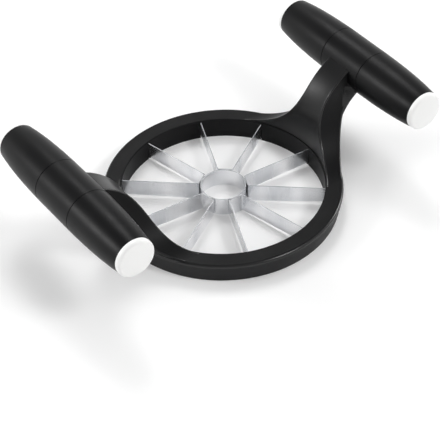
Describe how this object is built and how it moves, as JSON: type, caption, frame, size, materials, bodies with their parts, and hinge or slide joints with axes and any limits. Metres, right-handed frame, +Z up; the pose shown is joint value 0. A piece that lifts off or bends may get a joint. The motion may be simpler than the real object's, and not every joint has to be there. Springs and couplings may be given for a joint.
{
  "type": "apple slicer and corer press",
  "caption": "Hand press that cores and slices a round fruit: steel blades across a ring, raised on each side to a bar handle.",
  "frame": {"origin": "on the corer's axis, in the plane of the ring's underside", "axes": "+Z up along the corer's axis; X joins the two handles, +X towards the right handle; Y runs along the handle bars"},
  "size_m": [0.1908, 0.118, 0.0588],
  "materials": {
    "frame_plastic": "satin moulded black plastic",
    "grip_plastic": "fine matt black moulded grip",
    "cap_plastic": "smooth white moulded plastic",
    "blade_steel": "fine brushed stainless sheet with ground edges",
    "screw_steel": "zinc-plated steel"
  },
  "bodies": {
    "root": {"ring_frame": "frame_plastic", "retaining_ring": "frame_plastic", "blade_strip_1": "blade_steel", "blade_strip_2": "blade_steel", "blade_strip_3": "blade_steel", "blade_strip_4": "blade_steel", "blade_strip_5": "blade_steel", "corer_tube": "blade_steel", "left_front_grip": "grip_plastic", "left_rear_grip": "grip_plastic", "right_front_grip": "grip_plastic", "right_rear_grip": "grip_plastic", "left_front_cap": "cap_plastic", "left_rear_cap": "cap_plastic", "right_front_cap": "cap_plastic", "right_rear_cap": "cap_plastic", "grip_screws": "screw_steel"}
  },
  "joints": []
}
